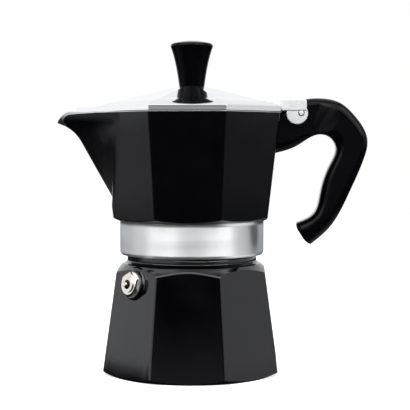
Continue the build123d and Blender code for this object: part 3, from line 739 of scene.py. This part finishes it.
def jug_rings(heights, *insets):
    """Rings of the jug's wall at rows of heights."""
    return [rings(jug_radius(z, *insets), z) for z in heights]


def lip_height(x):
    """Height of the rim, then the rising and dipping edge of the lip, at a place x."""
    back = tip_reach - lip_back
    rise = np.interp(-x, [lip_start, back], [0.0, lip_rise])
    beyond = np.clip((-x - back) / lip_back, 0, 1)
    return rim_z + rise - lip_dip * beyond ** lip_bend


def top_edge(inset, spout_inset):
    """Height where the wall meets the lip curve, by repeated correction."""
    z = np.full(HEADINGS, rim_z)
    for _ in range(30):
        z = 0.5 * z + 0.5 * lip_height(jug_radius(z, inset, spout_inset) * np.cos(heading))
    return z


print("spout tip", round(float(ridge_reach(119.5)), 2), "mm off the axis, frame", tip_reach)

# %% [markdown]
# The jug's skin is one closed tour: out along the seat, down the threaded skirt, round
# its edge, up the bare turned band, over the painted facets, across the bare rim and
# down inside to the floor. Finish follows the tour row by row. The rim's bare strip
# widens towards the lip, where a file has been over it.

# %% Jug shell
def jug_shell():
    lead_radius, lead_z = neck_skirt + 0.3, jug_z - lead_drop
    lead_slope = (0.9 + lead_drop) / (jug_base_corner + 0.6 - lead_radius)
    bottom = facet * (jug_apothem(lead_z) - jug_slope * lead_slope * lead_radius)
    bottom = bottom / (1 - facet * jug_slope * lead_slope)
    bottom_z = lead_z + (bottom - lead_radius) * lead_slope
    under = [rings(riser_hole, floor_z), rings(riser_hole, 73.6), rings(23.0, seat_z),
             rings(skirt_bore, seat_z)]
    band_low = skirt_z - 0.6
    thread = list(thread_rings(skirt_bore + thread_depth, skirt_z + 1.5, seat_z - 2.0)[::-1])
    band = [rings(skirt_bore, skirt_z + 0.1), rings(skirt_bore + 0.7, band_low),
            rings(neck_skirt - 0.9, band_low), rings(neck_skirt, band_low + 1.1)]
    band += [rings(neck_skirt, z) for z in np.linspace(skirt_z + 2.5, lead_z, 8)]
    band += [rings(lead_radius, lead_z)]
    share = np.linspace(0, 1, 52)[1:, None]
    outer_top, inner_top = top_edge(0, 0), top_edge(jug_wall, spout_wall)
    bare_edge = np.interp(-jug_radius(outer_top) * np.cos(heading),
                          [lip_start, lip_crest], [0.4, 1.6])
    z_out = bottom_z + share * (outer_top - bare_edge - bottom_z)
    outside = [rings(bottom, bottom_z)] + jug_rings([*z_out, outer_top])
    z_in = inner_top + share * (floor_z - inner_top)
    inside = jug_rings([inner_top, *z_in], jug_wall, spout_wall) + [rings(20.0, floor_z)]
    levels = under + thread + band + outside + inside
    reaches = [0, 0.3, 1.0, 0.4] + [0] * len(thread) + [0.3, 0.3, 0.4, 0.4] + [0] * 8
    reaches += [0.2, 0.45] + [0] * (len(outside) - 2) + [0.35, 0.35] + [0] * (len(inside) - 3)
    reaches += [2.5, 0]
    finishes = [2] + [1] * (len(under) + len(thread) + len(band) - 2)
    finishes += [0] * (len(outside) - 1) + [1, 1] + [2] * len(inside)
    path, strips = eased(levels, reaches, finishes)
    return shell("jug_shell", path, [lacquer, band_metal, cast_metal], strips, closed=True)


dress(jug_shell(), "upper_pot", "painted_aluminium", "collector")

# %% [markdown]
# The riser carries the coffee up into the jug. It is pressed into the floor, drawn in
# towards a flat cap, and two windows just under the cap let the coffee out sideways.
# Its wall is a grid of outer and inner rings. The cells behind the windows are left
# out, and the cut edges are walled from the outer to the inner grid.

# %% Riser
riser_top = node_box("riser")[1][2]
riser_foot, riser_neck, riser_bore, cap_thickness = 9.0, 5.6, 3.4, 1.6
foot_flare, flare_height = 1.6, 2.2
window_tall, window_half_angle = 7.0, np.radians(27.0)


def riser_tube():
    columns = 96
    angle = np.arange(columns) * 2 * np.pi / columns
    turn = np.stack([np.cos(angle), np.sin(angle)], axis=-1)
    cap = riser_top - cap_thickness
    sill = cap - window_tall
    outer_z = np.concatenate([[floor_z, floor_z + 0.8, floor_z + flare_height],
                              np.linspace(82, sill, 8), np.linspace(sill + 0.7, cap - 0.35, 9)])
    radius = riser_foot + (riser_neck - riser_foot) * (outer_z - floor_z) / (cap - floor_z)
    radius += foot_flare * np.clip(1 - (outer_z - floor_z) / flare_height, 0, 1) ** 2

    def wheel(reach, z):
        return np.concatenate([reach * turn, np.full((columns, 1), z)], axis=-1)

    outer = [wheel(reach, z) for reach, z in zip(radius, outer_z)]
    roof = [wheel(riser_neck - 0.3, cap + 0.25), wheel(riser_neck - 1.6, riser_top),
            wheel(0.3, riser_top)]
    ceiling = [wheel(0.3, cap), wheel(riser_bore - 0.3, cap)]
    inner = [wheel(riser_bore, z) for z in outer_z[::-1]]
    path = np.array(outer + roof + ceiling + inner)
    rows, last_roof = len(path), len(outer) + len(roof) - 1
    middle = (path[:, :, 2] + np.roll(path[:, :, 2], -1, axis=0)) / 2
    from_pole = np.abs((angle + angle[1] / 2 + np.pi / 2) % np.pi - np.pi / 2)
    behind = np.pi / 2 - from_pole < window_half_angle
    left_out = behind[None, :] & (middle > sill)
    left_out[len(outer) - 1:rows - len(inner)] = False
    left_out[-1], left_out[last_roof] = False, True
    quads = np.array(grid_faces(rows, columns, True)).reshape(rows, columns, 4)
    faces = quads[~left_out].tolist()
    points = np.vstack([path.reshape(-1, 3), [[0, 0, riser_top]], [[0, 0, cap]]])
    faces += fan(rows * columns, last_roof * columns, columns, True)
    faces += fan(rows * columns + 1, (last_roof + 1) * columns, columns, False)
    first, last = int(np.argmax(outer_z > sill - 1e-6)), len(outer) - 1

    def cut_edge(row, row2, column, column2, order):
        """Walls from the outer grid to its twin on the inner one, row for row."""
        twin, twin2 = rows - 1 - row, rows - 1 - row2
        return np.stack([row * columns + column, row2 * columns + column2,
                         twin2 * columns + column2, twin * columns + column],
                        axis=-1)[:, ::order].tolist()

    row = np.arange(first, last)
    for near_side in (angle < np.pi, angle >= np.pi):
        span = np.flatnonzero(behind & near_side)
        beside = (span + 1) % columns
        faces += cut_edge(row, row + 1, span[0], span[0], -1)
        faces += cut_edge(row, row + 1, beside[-1], beside[-1], 1)
        faces += cut_edge(first, first, span, beside, 1)
        faces += cut_edge(last, last, span, beside, -1)
    return mesh_piece("riser_tube", points, faces, [cast_metal], None, 40)


dress(riser_tube(), "upper_pot", "sheet_aluminium", "riser")

# %% [markdown]
# The lid is a pressed and polished dome with eight sides. Its height depends only on
# the distance to the nearest side, so each side is a smooth vault and the sides meet in
# soft ridges. Over the spout a beak takes over: a roof whose crest falls evenly to the
# tip. The higher of vault and beak is the lid. Its lower edge follows the lip's rise, a
# hair above it.

# %% Lid
knob_z, lid_apothem, rim_band_z = 136.2, 42.45, 126.4
break_apothem, seat_apothem, lid_slope, lid_skin = 31.0, 6.6, 0.262, 0.8
beak_reach, beak_root, beak_half, beak_tip_half = 55.1, 31.0, 27.1, 0.7
crest_tip_z, eaves_root_z, eaves_tip_z = 126.5, 126.8, 126.1
lid_z, lid_wall, lid_gap = 123.96, 1.7, 0.06


def vault_height(distance):
    """A flat seat, an even slope, then a parabola down to the rim."""
    break_z = knob_z - lid_slope * (break_apothem - seat_apothem)
    middle = ((break_apothem + lid_apothem) / 2, (break_z + rim_band_z) / 2 + 0.35)
    curve = np.polyfit([break_apothem, middle[0], lid_apothem],
                       [break_z, middle[1], rim_band_z], 2)
    slope = knob_z - lid_slope * np.maximum(distance - seat_apothem, 0)
    return np.where(distance > break_apothem, np.polyval(curve, distance), slope)


def beak_height(x, y):
    """Crest and eaves both run straight from the root to the tip."""
    share = np.clip((beak_reach + x) / (beak_reach - beak_root), 0, 1)
    half = beak_tip_half + (beak_half - beak_tip_half) * share
    crest_root_z = knob_z - lid_slope * (beak_root - seat_apothem)
    crest = crest_tip_z + (crest_root_z - crest_tip_z) * share
    eaves = eaves_tip_z + (eaves_root_z - eaves_tip_z) * share
    roof = crest - (crest - eaves) * np.abs(y) / half
    return np.where((np.abs(y) <= half + 0.5) & (x < -beak_root), roof, 0.0)


def lid_outline(inset=0.0):
    """The farther of the octagon and the beak's straight eaves."""
    lean = (beak_reach - beak_root) / (beak_half - beak_tip_half)
    eaves = (beak_reach + beak_tip_half * lean - 1.4 * inset) / (
        np.cos(from_spout) + lean * np.sin(from_spout))
    octagon = facet * (lid_apothem - inset)
    return np.where(from_spout < 0.9, worn(np.maximum(octagon, eaves)), octagon)


def lid_shell():
    outline, inner = lid_outline(), lid_outline(lid_wall)
    share = np.linspace(0.02, 1, 70)[:, None]

    def roof(edge, drop):
        radius = share * edge
        x, y = radius * np.cos(heading), radius * np.sin(heading)
        height = np.maximum(vault_height(radius / facet), beak_height(x, y))
        return rings(radius, worn(height) - drop)

    top = roof(outline, 0.0)
    x_edge = outline * np.cos(heading)
    low_edge = lid_z + np.interp(-x_edge, [lip_start, lip_crest], [0.0, lip_rise])
    low_edge += np.where(x_edge < -lip_start, lid_gap, 0.0)
    band_top = np.where(from_spout < 0.55, top[-1, :, 2], np.minimum(top[-1, :, 2], rim_band_z))
    below = roof(inner, lid_skin)[::-1]
    levels = list(top[:-1]) + [rings(outline, band_top), rings(outline, low_edge),
                               rings(inner, low_edge)] + list(below)
    reaches = [0] * (len(top) - 1) + [0.1, 0.15, 0.3, 0.6] + [0] * (len(below) - 1)
    finishes = [0] * (len(top) + 1) + [1] * (1 + len(below))
    path, strips = eased(levels, reaches, finishes)
    return shell("lid_shell", path[:, ::-1], [mirror_metal, cast_metal], strips)


dress(lid_shell(), "lid", "polished_aluminium", "lid")

# %% [markdown]
# The knob is a waisted profile turned round the pot's axis, with a bush moulded into
# its foot. A smooth curve through a few places comes from asking that slope and bend
# stay continuous at each place, which is one small set of linear equations.

# %% Knob
knob_foot_radius, knob_waist, knob_waist_rise, knob_rim, knob_top = 6.0, 7.1, 7.1, 10.2, 158.1
knob_edge, knob_crown = 1.4, 1.2


def smooth_curve(places, share):
    """Natural cubic through places, by chord length: solve for the bend at each place."""
    places = np.array(places, float)
    chord = np.linalg.norm(np.diff(places, axis=0), axis=1)
    knots = np.concatenate([[0], np.cumsum(chord)])
    count = len(places)
    system, right = np.eye(count), np.zeros((count, 2))
    inner = np.arange(1, count - 1)
    system[inner, inner - 1] = chord[:-1]
    system[inner, inner] = 2 * (chord[:-1] + chord[1:])
    system[inner, inner + 1] = chord[1:]
    slope = np.diff(places, axis=0) / chord[:, None]
    right[inner] = 6 * np.diff(slope, axis=0)
    bend = np.linalg.solve(system, right)
    at = np.asarray(share) * knots[-1]
    cell = np.clip(np.searchsorted(knots, at) - 1, 0, count - 2)
    wide = chord[cell][:, None]
    u = (knots[cell + 1] - at)[:, None]
    v = (at - knots[cell])[:, None]
    return ((bend[cell] * u ** 3 + bend[cell + 1] * v ** 3) / (6 * wide)
            + (places[cell] / wide - bend[cell] * wide / 6) * u
            + (places[cell + 1] / wide - bend[cell + 1] * wide / 6) * v)


def knob_shell():
    rim = knob_top - knob_crown - knob_edge
    bush_high = node_box("knob_insert")[1]
    bush, bush_top = bush_high[0] + 0.05, bush_high[2]
    side = smooth_curve([(knob_foot_radius, knob_z), (knob_waist, knob_z + knob_waist_rise),
                         (knob_rim - 0.9, rim - 2.7), (knob_rim, rim)], np.linspace(0, 1, 60))
    turn = np.linspace(0, np.pi / 2, 12)[1:]
    edge = [(knob_rim - knob_edge * (1 - np.cos(a)), rim + knob_edge * np.sin(a)) for a in turn]
    crown = knob_rim - knob_edge
    dome = [(r, knob_top - knob_crown * (r / crown) ** 2) for r in np.linspace(crown, 0.3, 20)[1:]]
    profile = [(0.3, bush_top), (bush, bush_top), (bush, knob_z)] + side.tolist() + edge + dome
    path = around_axis(profile, (0, 0, 0), (0, 0, 1), 144)
    reaches = [0, 0.1, 0.1, 0.2] + [0] * (len(profile) - 4)
    return shell("knob_shell", eased(list(path), reaches)[0], [knob_resin])


dress(knob_shell(), "lid", "phenolic", "lid_knob")

# %% [markdown]
# The hinge bracket grows out of the lid's back as a flat-topped wedge with two ears.
# Each ear is a plate with a round lobe, drilled for the pin. A plate is an outline and
# a hole walked round together: the face lies between them, and the edges are eased.

# %% Hinge bracket
hinge_x, hinge_z, hinge_top, hinge_back = 52.05, 123.5, 130.12, 54.6
hinge_half, ear_inside, lobe_recess, lobe_radius = 8.0, 5.8, 0.4, 5.1
lobe_x, lobe_z, pin_hole, plate_edge = 50.1, 123.3, 1.45, 124.6
ear_crown = [(54.3, 126.2), (50.0, 127.6), (45.2, 126.0)]
panel_corners = [(43.2, plate_edge), (hinge_back, plate_edge), (hinge_back, hinge_top),
                 (41.2, hinge_top), (41.2, 127.2)]
wedge_corners = [(41.2, plate_edge), (43.9, plate_edge), (43.9, hinge_top),
                 (30.6, hinge_top), (30.2, 129.75), (37.0, 128.1), (41.2, 126.6)]
panel_middle, wedge_middle, wedge_drop, no_hole = (48.6, 127.4), (42.4, 127.6), 0.06, 0.02


def walk(corners, ease, count=160):
    """Closed outline through corners eased by quadratic bends, at even steps."""
    corners, reach = np.array(corners, float), np.array(ease, float)[:, None]
    start = toward(corners, np.roll(corners, 1, 0), reach, 0.49)[:, None]
    end = toward(corners, np.roll(corners, -1, 0), reach, 0.49)[:, None]
    share = np.linspace(0, 1, 9)[None, :, None]
    bends = quadratic(start, corners[:, None], end, share).reshape(-1, 2)
    closed = np.vstack([bends, bends[:1]])
    along = np.concatenate([[0], np.cumsum(np.linalg.norm(np.diff(closed, axis=0), axis=1))])
    even = np.linspace(0, along[-1], count, endpoint=False)
    return np.stack([np.interp(even, along, closed[:, k]) for k in (0, 1)], axis=1)


def plate(outline, hole_centre, hole_radius, low_y, high_y, ease, lip=0.1):
    """Drilled plate in the XZ plane: outline, eased edge, face, hole, and back again."""
    around = np.roll(outline, -1, 0) - np.roll(outline, 1, 0)
    inward = np.stack([-around[:, 1], around[:, 0]], 1)
    inward *= ease / length(inward)
    away = (outline - hole_centre) / length(outline - hole_centre)
    hole = hole_centre + hole_radius * away
    steps = [(hole, lip), (hole + lip * away, 0), ((outline + inward + hole) / 2, 0),
             (outline + 1.5 * inward, 0), (outline + inward, 0),
             (outline + 0.3 * inward, 0.3 * ease), (outline, ease)]

    def ring(flat, y):
        return np.stack([flat[:, 0], np.full(len(flat), y), flat[:, 1]], axis=1)

    path = [ring(flat, low_y + up) for flat, up in steps]
    path += [ring(flat, high_y - up) for flat, up in steps[::-1]]
    return np.array(path)[::-1]


def joined(name, paths, finish, sharp):
    """Several closed tours, each a torus-like skin, as one piece."""
    points, faces = np.empty((0, 3)), []
    for path in paths:
        block = np.array(grid_faces(*path.shape[:2], True)) + len(points)
        points = np.vstack([points, path.reshape(-1, 3)])
        faces += block.tolist()
    return mesh_piece(name, points, faces, [finish], None, sharp)


def hinge_bracket():
    swing = np.radians(np.linspace(-175, 25, 40))
    lobe = [(lobe_x + lobe_radius * np.cos(a), lobe_z + lobe_radius * np.sin(a)) for a in swing]
    ear = walk(lobe + ear_crown, [0.2] * len(lobe) + [1.0] * len(ear_crown))
    panel = walk(panel_corners, [0.25, 0.3, 1.7, 0.5, 0.5])
    wedge = walk(wedge_corners, [0.3] * len(wedge_corners)) - [0, wedge_drop]
    paths = []
    for side in (1, -1):
        low, high = sorted((side * ear_inside, side * (hinge_half - lobe_recess)))
        paths.append(plate(ear, (hinge_x, hinge_z), pin_hole, low, high, 0.25))
        low, high = sorted((side * ear_inside, side * hinge_half))
        paths.append(plate(panel, panel_middle, no_hole, low, high, 0.3))
    wedge_half = hinge_half - lobe_recess
    paths.append(plate(wedge, wedge_middle, no_hole, -wedge_half, wedge_half, 0.35))
    return joined("hinge_bracket", paths, satin_metal, 35)


dress(hinge_bracket(), "lid", "polished_aluminium", "lid")

# %% [markdown]
# The pin is a plain rod through both ears, chamfered at its ends and as dull as they
# are. The holes are a little wider, so a thin dark ring shows round each end.

# %% Hinge pin
pin_radius, pin_half, pin_chamfer = 1.15, 8.12, 0.22


def pin_rod():
    end = [(pin_radius, pin_half - pin_chamfer), (pin_radius - pin_chamfer, pin_half),
           (0.05, pin_half)]
    profile = [(radius, -height) for radius, height in end[::-1]] + end
    rod = list(around_axis(profile, (hinge_x, 0, hinge_z), (0, -1, 0), 48))
    return shell("pin_rod", eased(rod, [0, 0.1, 0.1, 0.1, 0.1, 0])[0], [satin_metal])


dress(pin_rod(), "upper_pot", "steel", "hinge_pin")

# %% [markdown]
# The jug's half of the hinge is a thin blade that rises behind the rim and ends in a
# round eye on the pin. It is the same kind of drilled plate.

# %% Hinge lug
lug_half, lug_radius, lug_foot_z = 2.5, 3.4, 113.5


def hinge_lug():
    root = jug_apothem(lug_foot_z) - 1.3
    swing = np.linspace(-np.pi / 2, np.pi / 2, 24)
    eye = [(hinge_x + lug_radius * np.cos(a), hinge_z + lug_radius * np.sin(a)) for a in swing]
    outline = walk([(root, hinge_z - 0.8), (root, lug_foot_z)] + eye + [(44.9, hinge_z - 0.1)],
                   [0.1, 0.1] + [0.3] * len(eye) + [1.0])
    blade = plate(outline, (hinge_x, hinge_z), pin_hole, -lug_half, lug_half, 0.3)
    return joined("hinge_lug", [blade], lacquer, 40)


dress(hinge_lug(), "upper_pot", "painted_aluminium", "collector")

# %% [markdown]
# The handle is a side view with thickness: an outer and an inner curve run from the
# hinge to the hooked end, and a rectangle with round corners is carried between them.

# %% Handle
hinge_reach, handle_top, handle_drop, handle_half = 31.4, 130.6, 69.3, 8.5
nose_half, nose_end, nose_blend, foot_z = 5.4, 60.4, 7.0, 104.6
corner_in, corner_out = 4.6, 3.6
nose_share, widen_share, tail_share, tail_taper = 0.17, 0.13, 0.9, 10
tail_steps = ((0.35, 0.3), (0.9, 0.75), (2.2, 1.3), (3.6, 1.5))
outer_places = [(-0.04, 0.02), (0.285, 0.0), (0.559, 0.026), (0.807, 0.121), (0.998, 0.286),
                (0.941, 0.418), (0.718, 0.654), (0.428, 0.885), (0.151, 1.0)]
inner_places = [(-0.065, 0.326), (0.291, 0.247), (0.463, 0.274), (0.527, 0.343),
                (0.438, 0.455), (0.295, 0.646), (0.196, 0.788), (-0.059, 0.854)]


def handle_sides(share):
    """Outer and inner side-view curves at shares of their length."""
    nose_z = rim_z - 0.3
    start = [(jug_apothem(nose_z) + 0.02, nose_z)], [(jug_apothem(foot_z) + 0.02, foot_z)]
    curves = []
    for first, places in zip(start, (outer_places, inner_places)):
        spots = [(hinge_x + out * hinge_reach, handle_top - down * handle_drop)
                 for out, down in places]
        curves.append(smooth_curve(first + spots, share))
    return curves


def rounded_section(half_wide, half_deep, steps=9, lead=0.7):
    """Rectangle with round corners, as (across, deep) pairs; the inner side comes first.
    A point just before and after each corner keeps the flats flat in the shading."""
    points = []
    for side, deep, start in ((1, -1, -90), (1, 1, 0), (-1, 1, 90), (-1, -1, 180)):
        radius = min(corner_in if deep < 0 else corner_out, 0.8 * half_wide, 0.8 * half_deep)
        angle = np.radians(start + np.linspace(0, 90, steps))
        arc = np.stack([side * (half_wide - radius) + radius * np.cos(angle),
                        deep * (half_deep - radius) + radius * np.sin(angle)], axis=1)
        along = np.round(np.stack([-np.sin(angle), np.cos(angle)], axis=1))
        points += [arc[0] - along[0] * lead, *arc, arc[-1] + along[-1] * lead]
    return np.array(points)


def handle_body():
    share = np.linspace(0, 1, 160)
    outer, inner = handle_sides(share)
    rise = np.clip((share - nose_share) / widen_share, 0, 1)
    width = nose_half + (handle_half - nose_half) * rise ** 2 * (3 - 2 * rise)
    width = width - np.clip(share - tail_share, 0, 1) * tail_taper
    half_deep = np.linalg.norm(outer - inner, axis=1) / 2
    away = (outer - inner) / (2 * half_deep[:, None])
    middle = (outer + inner) / 2

    def place(k, half_wide, half_depth, shift):
        """Section at place k, its size given, moved along the handle by shift."""
        section = rounded_section(half_wide, half_depth)
        along = np.array([away[k, 1], -away[k, 0]])
        along = along if np.dot(along, middle[k] - middle[k - 1]) > 0 or k == 0 else -along
        spot = middle[k] + section[:, 1:] * away[k] + along * shift
        return np.stack([spot[:, 0], section[:, 0], spot[:, 1]], axis=1)

    rows = [place(k, width[k], half_deep[k], 0.0) for k in range(len(share))]
    for inset, shift in tail_steps:
        rows.append(place(len(share) - 1, width[-1] - inset, half_deep[-1] - inset, shift))
    path = np.array(rows)
    beyond = np.clip((path[:, :, 0] - nose_end) / nose_blend, 0, 1)
    room = np.where(path[:, :, 2] > foot_z - 0.3,
                    nose_half + (handle_half - nose_half) * beyond, handle_half)
    path[:, :, 1] = np.clip(path[:, :, 1], -room, room)
    path[:, :, 0] = np.minimum(path[:, :, 0], node_box("handle")[1][0] - 0.01)
    return shell("handle_body", path, [handle_resin])


dress(handle_body(), "upper_pot", "phenolic", "handle")
print("handle", 2 * nose_half, "mm wide at the nose and", 2 * handle_half, "at the grip")
